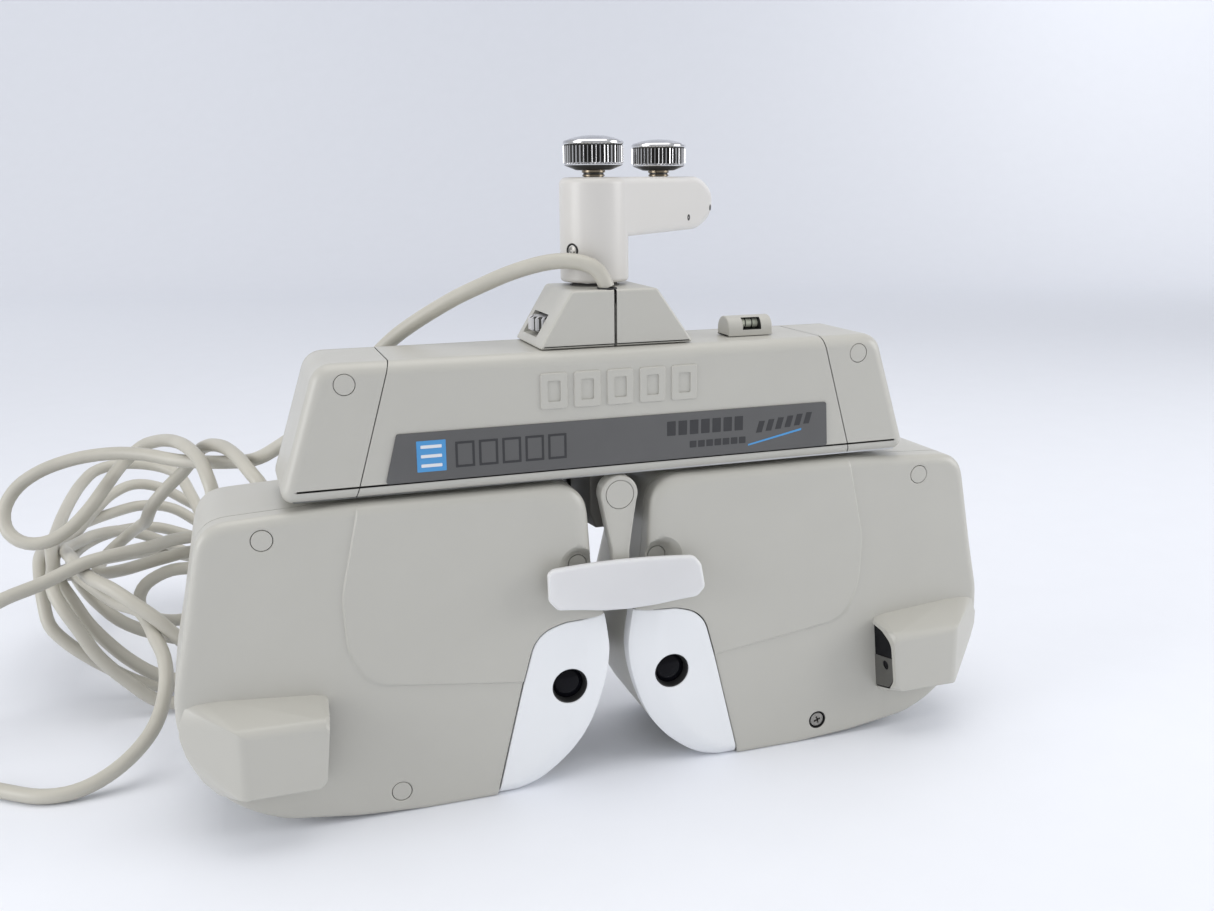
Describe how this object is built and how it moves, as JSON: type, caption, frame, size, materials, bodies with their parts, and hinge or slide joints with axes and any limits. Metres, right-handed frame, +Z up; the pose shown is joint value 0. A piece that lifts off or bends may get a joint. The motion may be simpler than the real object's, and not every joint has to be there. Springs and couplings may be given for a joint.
{
  "type": "phoropter",
  "caption": "Motorised refractor head with two lens housings on a spreading drive, forehead rest, joint arm with clamp knobs and a long coiled cable",
  "frame": {"origin": "middle of the object without its cable, on the surface that the two measuring heads stand on", "axes": "+Z up, -Y towards the patient (the side with the face shields), +X to the right as that side is looked at"},
  "size_m": [0.5712, 0.3705, 0.304],
  "materials": {
    "housing_grey": "fine-textured warm light-grey moulding",
    "shield_white": "smooth white, slightly translucent",
    "pad_clear": "milky translucent",
    "window_dark": "dark polished",
    "mechanism_dark": "black moulding",
    "label_grey": "satin dark-grey plate",
    "frame_aluminium": "milled",
    "shaft_steel": "ground",
    "arm_cream": "cast, glossy cream paint",
    "knob_chrome": "fluted, polished",
    "cable_beige": "smooth beige-grey jacket"
  },
  "bodies": {
    "housing": {"housing_front_cover": "housing_grey", "housing_left_end": "housing_grey", "housing_right_end": "housing_grey", "housing_back_cover": "housing_grey", "housing_base_plate": "frame_aluminium", "label_plate": "label_grey", "left_housing_plug": "housing_grey", "right_housing_plug": "housing_grey", "guide_rod": "shaft_steel", "pd_motor": "mechanism_dark", "level_vial_mount": "housing_grey", "level_vial": "window_dark", "tower_left_cover": "housing_grey", "tower_right_cover": "housing_grey", "tilt_bracket": "frame_aluminium", "cable_gland": "mechanism_dark", "cable_lead": "cable_beige", "cable_loop": "cable_beige", "cable_tail": "cable_beige", "cable_coil": "cable_beige", "cable_connector": "mechanism_dark", "forehead_guide": "mechanism_dark"},
    "leadscrew": {"pd_leadscrew": "shaft_steel"},
    "thumbwheel": {"level_thumbwheel": "mechanism_dark"},
    "post": {"tilt_post": "shaft_steel"},
    "arm": {"joint_arm": "arm_cream", "column_clamp_screw": "shaft_steel"},
    "swivel_knob": {"swivel_lock_knob": "knob_chrome"},
    "mount_knob": {"mount_lock_knob": "knob_chrome"},
    "forehead_rest": {"forehead_arm": "housing_grey", "forehead_pad": "pad_clear"},
    "forehead_knob": {"forehead_knob": "mechanism_dark"},
    "right_carriage": {"right_carriage": "frame_aluminium"},
    "right_head": {"right_front_cover": "housing_grey", "right_back_cover": "housing_grey", "right_face_shield": "shield_white", "right_chassis_plate": "frame_aluminium", "right_eyepiece_glass": "window_dark", "right_rear_window": "window_dark", "right_sight_box": "housing_grey", "right_sight_window": "window_dark", "right_disc_axle": "shaft_steel", "right_head_upper_plug": "housing_grey", "right_head_lower_plug": "shaft_steel"},
    "right_sphere_disc": {"right_sphere_lens_disc": "mechanism_dark"},
    "right_cylinder_disc": {"right_cylinder_lens_disc": "mechanism_dark"},
    "left_carriage": {"left_carriage": "frame_aluminium"},
    "left_head": {"left_front_cover": "housing_grey", "left_back_cover": "housing_grey", "left_face_shield": "shield_white", "left_chassis_plate": "frame_aluminium", "left_eyepiece_glass": "window_dark", "left_rear_window": "window_dark", "left_sight_box": "housing_grey", "left_sight_window": "window_dark", "left_disc_axle": "shaft_steel", "left_head_upper_plug": "housing_grey", "left_head_lower_plug": "housing_grey"},
    "left_sphere_disc": {"left_sphere_lens_disc": "mechanism_dark"},
    "left_cylinder_disc": {"left_cylinder_lens_disc": "mechanism_dark"}
  },
  "joints": [
    {"name": "right_pd_slide", "type": "slide", "parent": "housing", "child": "right_carriage", "axis": [1, 0, 0], "range_m": [-0.002, 0.014]},
    {"name": "left_pd_slide", "type": "slide", "parent": "housing", "child": "left_carriage", "axis": [-1, 0, 0], "range_m": [-0.002, 0.014]},
    {"name": "leadscrew_spin", "type": "hinge", "parent": "housing", "child": "leadscrew", "pos_m": [0, -0.01759, 0.184], "axis": [1, 0, 0], "range_deg": [-180, 1260]},
    {"name": "right_convergence", "type": "hinge", "parent": "right_carriage", "child": "right_head", "pos_m": [0.032, -0.03159, 0.148], "axis": [0, 0, 1], "range_deg": [0, 4]},
    {"name": "left_convergence", "type": "hinge", "parent": "left_carriage", "child": "left_head", "pos_m": [-0.032, -0.03159, 0.148], "axis": [0, 0, -1], "range_deg": [0, 4]},
    {"name": "right_sphere_disc_spin", "type": "hinge", "parent": "right_head", "child": "right_sphere_disc", "pos_m": [0.082, -0.03209, 0.0748], "axis": [0, 1, 0], "continuous": true},
    {"name": "right_cylinder_disc_spin", "type": "hinge", "parent": "right_head", "child": "right_cylinder_disc", "pos_m": [0.082, -0.02409, 0.0748], "axis": [0, 1, 0], "continuous": true},
    {"name": "left_sphere_disc_spin", "type": "hinge", "parent": "left_head", "child": "left_sphere_disc", "pos_m": [-0.082, -0.03209, 0.0748], "axis": [0, 1, 0], "continuous": true},
    {"name": "left_cylinder_disc_spin", "type": "hinge", "parent": "left_head", "child": "left_cylinder_disc", "pos_m": [-0.082, -0.02409, 0.0748], "axis": [0, 1, 0], "continuous": true},
    {"name": "level_tilt", "type": "hinge", "parent": "housing", "child": "post", "pos_m": [0, -0.01909, 0.221], "axis": [0, 1, 0], "range_deg": [-2.5, 2.5]},
    {"name": "thumbwheel_turn", "type": "hinge", "parent": "housing", "child": "thumbwheel", "pos_m": [-0.0223, -0.02359, 0.2196], "axis": [0, 0, 1], "range_deg": [-180, 180]},
    {"name": "arm_swivel", "type": "hinge", "parent": "post", "child": "arm", "pos_m": [0, -0.01909, 0.25], "axis": [0, 0, 1], "range_deg": [-45, 135]},
    {"name": "swivel_knob_turn", "type": "hinge", "parent": "arm", "child": "swivel_knob", "pos_m": [0, -0.01909, 0.29], "axis": [0, 0, 1], "range_deg": [-360, 0]},
    {"name": "mount_knob_turn", "type": "hinge", "parent": "arm", "child": "mount_knob", "pos_m": [0.05247, 0.03338, 0.29], "axis": [0, 0, 1], "range_deg": [-360, 0]},
    {"name": "forehead_slide", "type": "slide", "parent": "housing", "child": "forehead_rest", "axis": [0, -1, 0], "range_m": [0, 0.014]},
    {"name": "forehead_knob_turn", "type": "hinge", "parent": "housing", "child": "forehead_knob", "pos_m": [0, 0.00041, 0.142], "axis": [0, 1, 0], "range_deg": [0, 1008]}
  ],
  "couplings": [
    {"joint": "left_pd_slide", "follows": "right_pd_slide", "ratio": 1},
    {"joint": "leadscrew_spin", "follows": "right_pd_slide", "rad_per_m": 1570.8},
    {"joint": "left_convergence", "follows": "right_convergence", "ratio": 1},
    {"joint": "thumbwheel_turn", "follows": "level_tilt", "ratio": 72},
    {"joint": "forehead_knob_turn", "follows": "forehead_slide", "rad_per_m": 1256.6}
  ]
}
